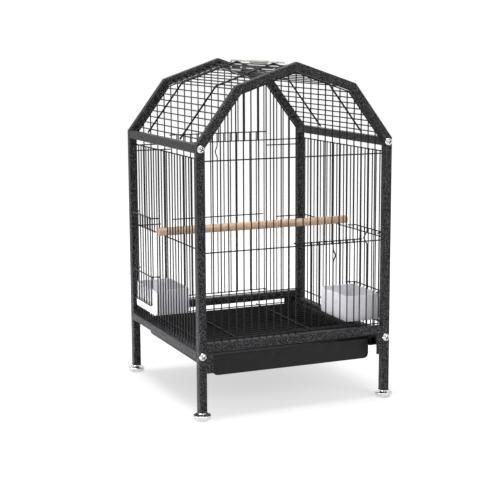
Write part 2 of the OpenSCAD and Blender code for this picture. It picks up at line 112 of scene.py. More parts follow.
def copyOf(piece, name, place=None):
    # a copy with its own mesh, turned and moved by the matrix if there is one
    twin = bpy.data.objects.new(name, piece.data.copy())
    bpy.context.scene.collection.objects.link(twin)
    if place is not None:
        twin.data.transform(place)
    return twin


def cutAway(piece, cutters):
    for cutter in cutters:
        activate(piece)
        cut = piece.modifiers.new("cut", "BOOLEAN")
        cut.operation = "DIFFERENCE"
        cut.solver = "EXACT"
        cut.object = cutter
        bpy.ops.object.modifier_apply(modifier=cut.name)
    clearSelection()
    for cutter in cutters:
        cutter.select_set(True)
    bpy.ops.object.delete()


def finishPiece(piece, body, finish, stands, smooth=35):
    # cleaned up, shaded and coloured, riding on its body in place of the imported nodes
    activate(piece)
    bpy.ops.object.mode_set(mode="EDIT")
    bpy.ops.mesh.select_all(action="SELECT")
    bpy.ops.mesh.remove_doubles(threshold=tiny)
    bpy.ops.mesh.normals_make_consistent(inside=False)
    bpy.ops.object.mode_set(mode="OBJECT")
    bpy.ops.object.shade_smooth_by_angle(angle=math.radians(smooth))
    piece.data.materials.clear()
    piece.data.materials.append(finish)
    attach(piece, body)
    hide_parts(*stands)


def block(name, low, high):
    # a box between two corners, its place in its mesh
    clearSelection()
    low, high = Vector(low), Vector(high)
    bpy.ops.mesh.primitive_cube_add(size=1, location=(low + high) / 2)
    piece = bpy.context.object
    piece.name = name
    piece.scale = high - low
    applyPlace(piece)
    return piece


def bentRod(route, thickness, bend, sides, tip=0.3 * mm):
    # round wire along the route, with every corner turned on a round bend and both tips rounded
    degreesPerStep = 15
    route = [Vector(spot) for spot in route]
    ways = [(b - a).normalized() for a, b in zip(route, route[1:])]
    clearSelection()
    bpy.ops.mesh.primitive_circle_add(
        vertices=sides, radius=thickness / 2, fill_type="NGON", location=route[0],
        rotation=ways[0].to_track_quat("Z", "Y").to_euler())
    rod = bpy.context.object
    applyPlace(rod)
    bpy.ops.object.mode_set(mode="EDIT")
    bpy.ops.mesh.select_all(action="SELECT")
    here = route[0]
    for i, corner in enumerate(route[1:], 1):
        way = ways[i - 1]
        if i == len(route) - 1:
            bpy.ops.mesh.extrude_region_move(TRANSFORM_OT_translate={"value": corner - here})
            break
        onward = ways[i]
        turn = way.angle(onward)
        cutBack = bend * math.tan(turn / 2)
        straight = (corner - here).length - cutBack
        if straight > tiny:
            bpy.ops.mesh.extrude_region_move(TRANSFORM_OT_translate={"value": way * straight})
        axis = onward.cross(way).normalized()
        bpy.ops.mesh.spin(
            steps=max(2, math.ceil(math.degrees(turn) / degreesPerStep)), angle=turn,
            center=corner - way * cutBack - axis.cross(way) * bend, axis=axis)
        here = corner + onward * cutBack
    bpy.ops.object.mode_set(mode="OBJECT")
    ends = ((route[0], ways[0]), (route[-1], ways[-1]))
    roundEdges(rod, lambda a, b: any(
        abs((a - end).dot(endWay)) < tiny and abs((b - end).dot(endWay)) < tiny
        and (a - end).length < thickness for end, endWay in ends), tip, 2)
    return rod


def ringStack(name, rings, sides):
    # a turned piece on the Z axis: a disc drawn up, and made wider or narrower ring by ring
    clearSelection()
    bpy.ops.mesh.primitive_circle_add(
        vertices=sides, radius=rings[0][0], fill_type="NGON", location=(0, 0, rings[0][1]))
    piece = bpy.context.object
    piece.name = name
    applyPlace(piece)
    bpy.ops.object.mode_set(mode="EDIT")
    bpy.ops.mesh.select_all(action="SELECT")
    for (wasWide, wasHigh), (wide, high) in zip(rings, rings[1:]):
        bpy.ops.mesh.extrude_region_move(TRANSFORM_OT_translate={"value": (0, 0, high - wasHigh)})
        ratio = wide / wasWide
        bpy.ops.transform.resize(value=(ratio, ratio, 1), center_override=(0, 0, high))
    bpy.ops.object.mode_set(mode="OBJECT")
    return piece


def softenedCopy(name, nodeName, width, steps=2):
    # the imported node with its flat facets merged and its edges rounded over
    piece = copyOf(nodes[nodeName], name)
    activate(piece)
    bpy.ops.mesh.customdata_custom_splitnormals_clear()
    bpy.ops.object.mode_set(mode="EDIT")
    bpy.ops.mesh.select_all(action="SELECT")
    bpy.ops.mesh.remove_doubles(threshold=2 * tiny)
    bpy.ops.mesh.dissolve_limited(angle_limit=math.radians(1))
    bpy.ops.object.mode_set(mode="OBJECT")
    rounding = piece.modifiers.new("rounding", "BEVEL")
    rounding.width = width
    rounding.segments = steps
    rounding.limit_method = "ANGLE"
    rounding.angle_limit = math.radians(40)
    rounding.use_clamp_overlap = True
    bpy.ops.object.modifier_apply(modifier=rounding.name)
    return piece


# Finishes

def startFinish(name, colour, roughness, metallic=0.0, specular=0.5):
    finish = bpy.data.materials.new(name)
    finish.use_nodes = True
    shader = finish.node_tree.nodes["Principled BSDF"]
    shader.inputs["Base Color"].default_value = (*colour, 1)
    shader.inputs["Roughness"].default_value = roughness
    shader.inputs["Metallic"].default_value = metallic
    shader.inputs["Specular IOR Level"].default_value = specular
    return finish, finish.node_tree.nodes, finish.node_tree.links, shader


def placed(tree, links, stretch=(1, 1, 1)):
    spot = tree.new("ShaderNodeTexCoord")
    mapping = tree.new("ShaderNodeMapping")
    mapping.inputs["Scale"].default_value = stretch
    links.new(spot.outputs["Object"], mapping.inputs["Vector"])
    return mapping.outputs["Vector"]


def addNoise(tree, links, where, scale, detail=3.0):
    noise = tree.new("ShaderNodeTexNoise")
    noise.inputs["Scale"].default_value = scale
    noise.inputs["Detail"].default_value = detail
    links.new(where, noise.inputs["Vector"])
    return noise.outputs["Fac"]


def addRamp(tree, links, source, stops):
    ramp = tree.new("ShaderNodeValToRGB")
    ramp.color_ramp.elements[0].position = stops[0][0]
    ramp.color_ramp.elements[0].color = (*stops[0][1], 1)
    ramp.color_ramp.elements[1].position = stops[1][0]
    ramp.color_ramp.elements[1].color = (*stops[1][1], 1)
    for position, colour in stops[2:]:
        ramp.color_ramp.elements.new(position).color = (*colour, 1)
    links.new(source, ramp.inputs["Fac"])
    return ramp.outputs["Color"]


def addBump(tree, links, shader, height, strength, distance):
    bump = tree.new("ShaderNodeBump")
    bump.inputs["Strength"].default_value = strength
    bump.inputs["Distance"].default_value = distance
    links.new(height, bump.inputs["Height"])
    links.new(bump.outputs["Normal"], shader.inputs["Normal"])


def addRange(tree, links, source, low, high, target):
    # the source, from 0 to 1, brought between low and high
    between = tree.new("ShaderNodeMapRange")
    between.inputs["To Min"].default_value = low
    between.inputs["To Max"].default_value = high
    links.new(source, between.inputs["Value"])
    links.new(between.outputs["Result"], target)


def makeHammertone():
    # dark powder coat with light flecks in small dimples
    finish, tree, links, shader = startFinish(
        "hammertone", (0.02, 0.02, 0.023), roughness=0.36, specular=0.08)
    where = placed(tree, links)
    cells = tree.new("ShaderNodeTexVoronoi")
    cells.feature = "SMOOTH_F1"
    cells.inputs["Scale"].default_value = 700
    cells.inputs["Smoothness"].default_value = 0.4
    links.new(where, cells.inputs["Vector"])
    flecks = addNoise(tree, links, where, scale=1050, detail=2.0)
    colour = addRamp(tree, links, flecks, (
        (0.42, (0.004, 0.004, 0.005)), (0.68, (0.26, 0.26, 0.275)), (0.55, (0.018, 0.018, 0.02))))
    links.new(colour, shader.inputs["Base Color"])
    addRange(tree, links, flecks, low=0.26, high=0.5, target=shader.inputs["Roughness"])
    addBump(tree, links, shader, cells.outputs["Distance"], strength=0.7, distance=0.35 * mm)
    return finish


def makeBlackWire():
    # satin powder coat, a little uneven
    finish, tree, links, shader = startFinish(
        "black_wire", (0.008, 0.008, 0.009), roughness=0.34, specular=0.16)
    where = placed(tree, links)
    uneven = addNoise(tree, links, where, scale=420)
    links.new(addRamp(tree, links, uneven, (
        (0.3, (0.005, 0.005, 0.006)), (0.75, (0.013, 0.013, 0.015)))), shader.inputs["Base Color"])
    addRange(tree, links, uneven, low=0.28, high=0.46, target=shader.inputs["Roughness"])
    addBump(tree, links, shader, uneven, strength=0.12, distance=0.1 * mm)
    return finish


def makeChrome():
    # bright plate with a faint haze, and painted shade in its recesses
    finish, tree, links, shader = startFinish(
        "chrome", (0.66, 0.65, 0.63), roughness=0.12, metallic=1.0)
    where = placed(tree, links)
    haze = addNoise(tree, links, where, scale=260)
    # painted shade: the base colour is darkened where it is recessed, as in a screw's cross or
    # under a foot's neck
    recess = tree.new("ShaderNodeAmbientOcclusion")
    recess.only_local = True
    recess.inputs["Distance"].default_value = 2.5 * mm
    paintedRecessShade = tree.new("ShaderNodeMixRGB")
    links.new(addRamp(tree, links, recess.outputs["AO"], (
        (0.5, (0, 0, 0)), (0.95, (1, 1, 1)))), paintedRecessShade.inputs["Fac"])
    # painted shade: the near-black colour laid into the recesses in place of their shadow
    paintedRecessShade.inputs["Color1"].default_value = (0.06, 0.058, 0.055, 1)
    links.new(addRamp(tree, links, haze, (
        (0.35, (0.58, 0.57, 0.55)), (0.65, (0.74, 0.73, 0.71)))), paintedRecessShade.inputs["Color2"])
    links.new(paintedRecessShade.outputs["Color"], shader.inputs["Base Color"])
    addRange(tree, links, haze, low=0.06, high=0.2, target=shader.inputs["Roughness"])
    return finish


def makeFeederPlastic():
    # smooth, faintly violet white that lets a little light in
    finish, tree, links, shader = startFinish("feeder_plastic", (0.80, 0.79, 0.84), roughness=0.28)
    shader.inputs["Subsurface Weight"].default_value = 0.25
    shader.inputs["Subsurface Radius"].default_value = (0.004, 0.004, 0.005)
    shader.inputs["Subsurface Scale"].default_value = 1.0
    where = placed(tree, links)
    cloud = addNoise(tree, links, where, scale=45)
    links.new(addRamp(tree, links, cloud, (
        (0.3, (0.77, 0.76, 0.82)), (0.7, (0.82, 0.81, 0.86)))), shader.inputs["Base Color"])
    addRange(tree, links, cloud, low=0.22, high=0.36, target=shader.inputs["Roughness"])
    fine = addNoise(tree, links, where, scale=700)
    addBump(tree, links, shader, fine, strength=0.05, distance=0.1 * mm)
    return finish


def makePerchWood():
    # pale wood with its grain along X
    finish, tree, links, shader = startFinish("perch_wood", (0.74, 0.52, 0.35), roughness=0.62)
    along = placed(tree, links, stretch=(9, 190, 190))
    grain = addNoise(tree, links, along, scale=1.0, detail=6.0)
    finer = placed(tree, links, stretch=(60, 1400, 1400))
    pores = addNoise(tree, links, finer, scale=1.0, detail=2.0)
    colour = addRamp(tree, links, grain, (
        (0.3, (0.56, 0.35, 0.21)), (0.7, (0.84, 0.63, 0.45)), (0.5, (0.74, 0.52, 0.35))))
    shade = tree.new("ShaderNodeMixRGB")
    shade.blend_type = "MULTIPLY"
    shade.inputs["Fac"].default_value = 0.35
    links.new(colour, shade.inputs["Color1"])
    links.new(addRamp(tree, links, pores, (
        (0.38, (0.55, 0.45, 0.38)), (0.55, (1, 1, 1)))), shade.inputs["Color2"])
    links.new(shade.outputs["Color"], shader.inputs["Base Color"])
    addRange(tree, links, grain, low=0.52, high=0.72, target=shader.inputs["Roughness"])
    addBump(tree, links, shader, pores, strength=0.25, distance=0.15 * mm)
    return finish


def makeTrayPlastic():
    # black moulded plastic with a fine grain
    finish, tree, links, shader = startFinish(
        "tray_plastic", (0.01, 0.01, 0.011), roughness=0.42, specular=0.2)
    where = placed(tree, links)
    grain = addNoise(tree, links, where, scale=1500, detail=1.0)
    cloud = addNoise(tree, links, where, scale=60)
    links.new(addRamp(tree, links, cloud, (
        (0.3, (0.008, 0.008, 0.009)), (0.7, (0.013, 0.013, 0.014)))), shader.inputs["Base Color"])
    addRange(tree, links, grain, low=0.36, high=0.5, target=shader.inputs["Roughness"])
    addBump(tree, links, shader, grain, strength=0.2, distance=0.08 * mm)
    return finish


def makeGripPlastic():
    # smooth cream
    finish, tree, links, shader = startFinish("grip_plastic", (0.74, 0.72, 0.62), roughness=0.3)
    where = placed(tree, links)
    cloud = addNoise(tree, links, where, scale=90)
    links.new(addRamp(tree, links, cloud, (
        (0.3, (0.70, 0.68, 0.58)), (0.7, (0.78, 0.76, 0.67)))), shader.inputs["Base Color"])
    addRange(tree, links, cloud, low=0.25, high=0.4, target=shader.inputs["Roughness"])
    return finish


def makePlugPlastic():
    # black moulded plastic, a little greyer than the tray
    finish, tree, links, shader = startFinish(
        "plug_plastic", (0.02, 0.02, 0.022), roughness=0.5, specular=0.3)
    grain = addNoise(tree, links, placed(tree, links), scale=1100, detail=1.0)
    links.new(addRamp(tree, links, grain, (
        (0.3, (0.014, 0.014, 0.016)), (0.7, (0.028, 0.028, 0.03)))), shader.inputs["Base Color"])
    addBump(tree, links, shader, grain, strength=0.15, distance=0.08 * mm)
    return finish


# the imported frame's own materials give up their names, and its nodes take the new finishes
for packed in list(bpy.data.materials):
    packed.name = "packed_" + packed.name
hammertone = makeHammertone()
blackWire = makeBlackWire()
chrome = makeChrome()
feederPlastic = makeFeederPlastic()
perchWood = makePerchWood()
trayPlastic = makeTrayPlastic()
gripPlastic = makeGripPlastic()
plugPlastic = makePlugPlastic()
finishes = (
    hammertone, blackWire, chrome, feederPlastic, perchWood, trayPlastic, gripPlastic, plugPlastic)
finishOf = {finish.name: finish for finish in finishes}
for node in nodes.values():
    for place in node.material_slots:
        place.material = finishOf[place.material.name.removeprefix("packed_")]
print("finishes made:", len(finishes))


# Square tubes of the frame

tubes = {
    "cornerRadius": 1.7 * mm,
    "cornerSteps": 4,
    "archBendX": 100 * mm,
    "archBendHeight": 509 * mm,
    "tabEdge": 0.4 * mm,
}
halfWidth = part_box("post_front_right")[1].x
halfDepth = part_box("post_back_right")[1].y
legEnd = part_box("post_front_right")[0].z
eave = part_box("eave_rail_right")[1].z
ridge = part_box("front_arch")[1].z
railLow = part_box("front_rail")[0].z
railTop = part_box("front_rail")[1].z
side = railTop - railLow
postX = halfWidth - side / 2
postY = halfDepth - side / 2


def archLine(inset):
    # from the right leg's end over the ridge to the left one's, moved inwards,
    # and the way of each stretch
    bendX, bendZ = tubes["archBendX"], tubes["archBendHeight"]
    outline = [Vector((x, 0, z)) for x, z in (
        (halfWidth, legEnd), (halfWidth, eave), (bendX, bendZ), (0, ridge),
        (-bendX, bendZ), (-halfWidth, eave), (-halfWidth, legEnd))]
    ways = [(b - a).normalized() for a, b in zip(outline, outline[1:])]
    inward = [Vector((-way.z, 0, way.x)) for way in ways]
    line = [outline[0] + inset * inward[0]]
    for corner, a, b in zip(outline[1:-1], inward, inward[1:]):
        line.append(corner + inset * (a + b) / (1 + a.dot(b)))
    line.append(outline[-1] + inset * inward[-1])
    return line, ways


def cutTube(start, end, startCut, endCut):
    # a length of tube with rounded corners, made overlong and sawn off at both ends
    start, end = Vector(start), Vector(end)
    way = (end - start).normalized()
    clearSelection()
    bpy.ops.mesh.primitive_cube_add(
        size=1, location=(start + end) / 2, rotation=way.to_track_quat("X", "Z").to_euler())
    tube = bpy.context.object
    tube.scale = ((end - start).length + 4 * side, side, side)
    applyPlace(tube)
    pickEdges(tube, lambda a, b: abs((b - a).normalized().dot(way)) > 0.99)
    bpy.ops.mesh.bevel(offset=tubes["cornerRadius"], segments=tubes["cornerSteps"], affect="EDGES")
    for spot, cut, inner in ((start, startCut, True), (end, endCut, False)):
        bpy.ops.mesh.select_all(action="SELECT")
        bpy.ops.mesh.bisect(
            plane_co=spot, plane_no=cut, use_fill=True, clear_inner=inner, clear_outer=not inner)
    bpy.ops.object.mode_set(mode="OBJECT")
    return tube


def makeFrameTubes():
    middle, ways = archLine(side / 2)
    cuts = [ways[0]] + [(a + b).normalized() for a, b in zip(ways, ways[1:])] + [ways[-1]]
    for end, y in (("front", -postY), ("back", postY)):
        off = Vector((0, y, 0))
        lengths = [
            cutTube(middle[i] + off, middle[i + 1] + off, cuts[i], cuts[i + 1]) for i in range(6)]
        for hand, i in (("right", 0), ("left", 5)):
            lengths[i].name = f"{end}{hand.title()}Leg"
            finishPiece(lengths[i], "frame", hammertone, [f"post_{end}_{hand}"])
        arch = joinPieces(f"{end}Arch", lengths[1:5])
        finishPiece(arch, "frame", hammertone, [f"{end}_arch"])
        across = Vector((1, 0, 0))
        inner = halfWidth - side
        z = railLow + side / 2
        rail = cutTube((-inner, y, z), (inner, y, z), across, across)
        rail.name = f"{end}Rail"
        finishPiece(rail, "frame", hammertone, [f"{end}_rail"])
    back = Vector((0, 1, 0))
    inner = halfDepth - side
    for hand, x in (("left", -postX), ("right", postX)):
        for kind, top in (("eave", eave), ("side", railLow)):
            z = top - side / 2
            rail = cutTube((x, -inner, z), (x, inner, z), back, back)
            rail.name = f"{kind}Rail{hand.title()}"
            finishPiece(rail, "frame", hammertone, [f"{kind}_rail_{hand}"])


makeFrameTubes()
for name, node in (("cornerTabs", "corner_tabs"), ("rearStops", "rear_stops"),
                   ("leftRunner", "tray_runner_left"), ("rightRunner", "tray_runner_right")):
    finishPiece(softenedCopy(name, node, tubes["tabEdge"]), "frame", hammertone, [node])
print("frame tubes, tabs and runners made")


# Screws, leg plugs and feet

screws = {
    "headWidth": 12.3 * mm,
    "headHeight": 3.5 * mm,
    "recessWidth": 7.0 * mm,
    "slotWidth": 1.8 * mm,
    "recessDepth": 2.6 * mm,
    "edge": 0.25 * mm,
    "firstTurn": 25,
    "turnStep": 31,
    "plugEdge": 0.3 * mm,
}


def makeScrewHead():
    # domed head on the plane Y = 0, with a cross recess
    half, high = screws["headWidth"] / 2, screws["headHeight"]
    domeRadius = (half ** 2 + high ** 2) / (2 * high)
    clearSelection()
    bpy.ops.mesh.primitive_uv_sphere_add(
        segments=48, ring_count=40, radius=domeRadius, location=(0, 0, high - domeRadius))
    head = bpy.context.object
    applyPlace(head)
    bpy.ops.object.mode_set(mode="EDIT")
    bpy.ops.mesh.select_all(action="SELECT")
    bpy.ops.mesh.bisect(plane_co=(0, 0, 0), plane_no=(0, 0, 1), use_fill=True, clear_inner=True)
    bpy.ops.object.mode_set(mode="OBJECT")
    roundEdges(head, lambda a, b: abs(a.z) < tiny and abs(b.z) < tiny, screws["edge"], 2)
    reach, slot = screws["recessWidth"] / 2, screws["slotWidth"] / 2
    floor = high - screws["recessDepth"]
    cutters = [block("cutter", (-x, -y, floor), (x, y, high + mm))
               for x, y in ((reach, slot), (slot, reach))]
    for cutter in cutters:
        roundEdges(cutter, lambda a, b: max(a.z, b.z) < floor + tiny, screws["edge"], 1)
    cutAway(head, cutters)
    head.data.transform(Matrix.Rotation(math.radians(90), 4, "X"))
    return head


def makeScrews():
    pattern = makeScrewHead()
    heights = (eave - side / 2, railLow - side / 2)
    for end, turn in (("front", 0), ("back", math.pi)):
        heads = []
        for x in (-postX, postX):
            for z in heights:
                degrees = screws["firstTurn"] + screws["turnStep"] * len(heads)
                spin = Matrix.Rotation(math.radians(degrees), 4, "Y")
                there = Matrix.Translation((x, -halfDepth, z))
                heads.append(copyOf(pattern, "head", Matrix.Rotation(turn, 4, "Z") @ there @ spin))
        finishPiece(
            joinPieces(f"{end}Screws", heads), "frame", chrome, [f"{end}_screws"], smooth=30)
    bpy.data.objects.remove(pattern)


feet = {
    "plugGap": 0.2 * mm,
    "sides": 56,
    "rings": (  # radius and height, in shares of the foot's own radius and height
        (0.52, 0.0), (0.62, 0.012), (0.72, 0.045), (0.80, 0.09), (0.87, 0.15), (0.925, 0.22),
        (0.962, 0.30), (0.985, 0.39), (0.998, 0.49), (1.0, 0.58), (1.0, 0.66), (0.99, 0.71),
        (0.965, 0.745), (0.93, 0.765), (0.88, 0.775), (0.80, 0.77), (0.55, 0.765), (0.42, 0.775),
        (0.365, 0.80), (0.345, 0.84), (0.34, 1.0)),
}


def makeFeet():
    for end, y in (("front", -postY), ("back", postY)):
        for hand, x in (("left", -postX), ("right", postX)):
            node = f"foot_{end}_{hand}"
            low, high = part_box(node)
            radius = (high.x - low.x) / 2
            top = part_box("leg_plugs")[0].z - feet["plugGap"]
            rings = [(share * radius, height * top) for share, height in feet["rings"]]
            foot = ringStack(f"{end}{hand.title()}Foot", rings, feet["sides"])
            foot.data.transform(Matrix.Translation((x, y, 0)))
            finishPiece(foot, f"glide_{end}_{hand}", chrome, [node], smooth=40)


makeScrews()
plugs = softenedCopy("legPlugs", "leg_plugs", screws["plugEdge"])
finishPiece(plugs, "frame", plugPlastic, ["leg_plugs"])
makeFeet()
print("screws, plugs and feet made")


# Wires

wires = {
    "thickness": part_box("ridge_wire")[1].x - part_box("ridge_wire")[0].x,
    "weldGap": 0.02 * mm,
    "pitch": 12.5 * mm,
    "guideGap": 0.5 * mm,
    "ribThickness": 3 * mm,
    "ribBend": 5 * mm,
    "ribSides": 16,
    "archGap": 1 * mm,
    "bend": 3 * mm,
    "sides": 14,
}
wire = wires["thickness"]
curlRadius = wire + wires["guideGap"]
curlBend = curlRadius * 0.999  # just short of the radius, so two bends never meet end to end
lap = wire + wires["weldGap"]
ribDepth = (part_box("roof_ribs")[1].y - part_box("roof_ribs")[0].y - wires["ribThickness"]) / 2
turns = {"front": 0, "right": 90, "back": 180, "left": -90}


def onPanel(panel, x, inward, z):
    # a spot on a wire panel: along it, in from its wires' plane, and up
    spot = Vector((x, inward - (postY if panel in ("front", "back") else postX), z))
    return Matrix.Rotation(math.radians(turns[panel]), 4, "Z") @ spot


def thinRod(route, bend=wires["bend"]):
    return bentRod(route, wire, bend, wires["sides"])


def steepness(line):
    return (line[2].z - line[1].z) / (line[1].x - line[2].x)


def overRoof(line, footX, footZ, depth):
    # the routes of a pair of wires over the roof, one to the front and one to the back
    top = [Vector((footX, 0, footZ)), line[2], line[3], line[4], Vector((-footX, 0, footZ))]
    return [[spot + Vector((0, y, 0)) for spot in top] for y in (-depth, depth)]


def makeRoofWires():
    line, _ = archLine(side / 2 - wires["ribThickness"] / 2 - wire / 2 - wires["weldGap"])
    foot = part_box("roof_ribs")[0].z + wires["ribThickness"] / 2
    footX = line[1].x - (foot - line[1].z) / steepness(line)
    ribs = [bentRod(route, wires["ribThickness"], wires["ribBend"], wires["ribSides"])
            for route in overRoof(line, footX, foot, ribDepth)]
    finishPiece(joinPieces("roofRibs", ribs), "frame", blackWire, ["roof_ribs"])
    line, _ = archLine(side + wire / 2 + wires["archGap"])
    endX = halfWidth - side - wire / 2
    endZ = line[2].z - (endX - line[2].x) * steepness(line)
    pair = [thinRod(route) for route in overRoof(line, endX, endZ, postY - lap)]
    finishPiece(joinPieces("archWires", pair), "frame", blackWire, ["arch_wires"])


makeRoofWires()
print("roof ribs and arch wires bent")


# Handle

handle = {
    "wire": 3 * mm,
    "bend": 5 * mm,
    "sides": 20,
    "tip": 0.5 * mm,
    "hookReach": 6 * mm,  # from the middle of a rib to where the hook turns up
    "hookRise": 5 * mm,
    "hookRun": 3 * mm,
    "gripSides": 40,
    "gripRings": (  # radius and length, in shares of the grip's own
        (0.70, 0.0), (0.88, 0.006), (0.97, 0.018), (1.0, 0.035), (1.0, 0.25), (1.0, 0.75),
        (1.0, 0.965), (0.97, 0.982), (0.88, 0.994), (0.70, 1.0)),
}


def makeHandle():
    low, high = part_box("handle_bail")
    half = handle["wire"] / 2
    x, topZ, hookZ = (low.x + high.x) / 2, high.z - half, low.z + half
    frontY, backY = low.y + half, high.y - half
    hookY = ribDepth - handle["hookReach"]
    run, rise = handle["hookRun"], handle["hookRise"]
    route = [
        (x, -hookY + run, hookZ + rise), (x, -hookY, hookZ), (x, frontY, hookZ), (x, frontY, topZ),
        (x, backY, topZ), (x, backY, hookZ), (x, hookY, hookZ), (x, hookY - run, hookZ + rise)]
    bail = bentRod(route, handle["wire"], handle["bend"], handle["sides"], handle["tip"])
    bail.name = "handleWire"
    finishPiece(bail, "carry_handle", chrome, ["handle_bail"])
    low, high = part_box("handle_grip")
    radius, length = (high.x - low.x) / 2, high.y - low.y
    rings = [(share * radius, along * length) for share, along in handle["gripRings"]]
    grip = ringStack("handleGrip", rings, handle["gripSides"])
    backEnd = Matrix.Translation(((low.x + high.x) / 2, high.y, (low.z + high.z) / 2))
    grip.data.transform(backEnd @ Matrix.Rotation(math.radians(90), 4, "X"))
    finishPiece(grip, "carry_handle", gripPlastic, ["handle_grip"], smooth=50)


makeHandle()
print("handle made")


# Doors

doors = {
    "shift": 2.4 * mm,
    "kink": 4 * mm,
    "kinkHalf": 10 * mm,
    "frontKinkDrop": 23.5 * mm,
    "backKinkDrop": 32.5 * mm,
    "lastUpright": 9,  # guide wires and uprights are counted in pitches from the middle
    "kinkUpright": 5,
    "backGuide": 7,
    "backBarInset": 1.5 * mm,
    "backMiddleRise": 143 * mm,
    "bayGuides": (-11, -3),
    "bay": 7.5 * mm,
    "bayBarDrop": 97.5 * mm,
    "pullLength": 20 * mm,
    "pullPlace": 0.6,
}


def curledRod(panel, x0, x1, z):
    # a bar outside the uprights, whose ends turn round the guide wires
    c = curlRadius
    route = ((x0, c, z), (x0 - c, c, z), (x0 - c, -c, z),
             (x1 + c, -c, z), (x1 + c, c, z), (x1, c, z))
    return thinRod([onPanel(panel, *spot) for spot in route], curlBend)


def straightRod(panel, x, inward, low, high):
    return thinRod([onPanel(panel, x, inward, z) for z in (low, high)], 0)


def kinkedRod(panel, x, inward, low, kinkZ, high):
    # an upright with the sideways kink that holds a raised door
    half = doors["kinkHalf"]
    route = ((x, inward, low), (x, inward, kinkZ - half), (x + doors["kink"], inward, kinkZ),
             (x, inward, kinkZ + half), (x, inward, high))
    return thinRod([onPanel(panel, *spot) for spot in route])


def makeFrontDoor():
    low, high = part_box("front_door")
    bottom, top = low.z, high.z
    last = doors["lastUpright"] * wires["pitch"]
    out = lap - curlRadius
    rods = [curledRod("front", 0, last, z) for z in (bottom + wire / 2, top - wire / 2)]
    for i in range(1, doors["lastUpright"]):
        x = i * wires["pitch"] + doors["shift"]
        if i == doors["kinkUpright"]:
            kinkZ = top - wire / 2 - doors["frontKinkDrop"]
            rods.append(kinkedRod("front", x, out, bottom, kinkZ, top))
        else:
            rods.append(straightRod("front", x, out, bottom, top))
    finishPiece(joinPieces("frontDoor", rods), "front_gate", blackWire, ["front_door"])


def makeBackDoor():
    low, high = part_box("back_door")
    bottom, top = low.z, high.z
    guide = doors["backGuide"]
    far = guide * wires["pitch"]
    out = lap - curlRadius
    rods = [curledRod("back", -far, far, z) for z in (bottom + wire / 2, top - wire / 2)]
    reach = far - doors["backBarInset"]
    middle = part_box("back_bars")[0].z + doors["backMiddleRise"]
    rods.append(thinRod([onPanel("back", x, -curlRadius, middle) for x in (-reach, reach)], 0))
    for i in range(1 - guide, guide):
        x = i * wires["pitch"] + doors["shift"]
        if i == 0:
            kinkZ = top - wire / 2 - doors["backKinkDrop"]
            rods.append(kinkedRod("back", x, out, bottom, kinkZ, top))
        else:
            rods.append(straightRod("back", x, out, bottom, top))
    finishPiece(joinPieces("backDoor", rods), "back_gate", blackWire, ["back_door"])


def makeFeederDoor(hand):
    # bowed out round its cup, with two bars that hook round the guide wires
    node = f"feeder_door_{hand}"
    low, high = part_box(node)
    c, out = curlRadius, -doors["bay"]
    barOut = out - lap
    first, last = doors["bayGuides"]
    x0, x1 = first * wires["pitch"], last * wires["pitch"]
    top = high.z - wire / 2
    barZ = top - doors["bayBarDrop"]
    hooked = ((x0 - c, 0), (x0 - c, c), (x0 + c, c), (x0 + c, barOut),
              (x1 - c, barOut), (x1 - c, c), (x1 + c, c), (x1 + c, 0))
    rods = [thinRod([onPanel(hand, x, inward, z) for x, inward in hooked], curlBend)
            for z in (barZ, top)]
    inner = [i * wires["pitch"] for i in range(first + 1, last)]
    ends = (inner[0] - wire / 2, inner[-1] + wire / 2)
    rods.append(thinRod([onPanel(hand, x, barOut, low.z + wire / 2) for x in ends], 0))
    for x in inner:
        rods.append(straightRod(hand, x, out, low.z, high.z))
    pullX = inner[-1] + doors["pullPlace"] * wires["pitch"]
    rods.append(straightRod(hand, pullX, out, barZ - doors["pullLength"], barZ + wire / 2))
    finishPiece(joinPieces(f"{hand}FeederDoor", rods), f"{hand}_feeder_gate", blackWire, [node])


makeFrontDoor()
makeBackDoor()
makeFeederDoor("left")
makeFeederDoor("right")
print("doors bent")


# Feeders, perch and tray

feeders = {
    "wall": 1.5 * mm,
    "cornerRadius": 5 * mm,
    "bottomRadius": 2.5 * mm,
    "insideShare": 0.6,
    "rimEdge": 0.5 * mm,
    "ear": 3 * mm,
    "earThick": 1.5 * mm,
    "earOut": 1.3 * mm,
    "earEdge": 0.35 * mm,
    "earFoot": 2.7 * mm,
    "earDrop": 3.5 * mm,
    "front": 6 * mm,
}


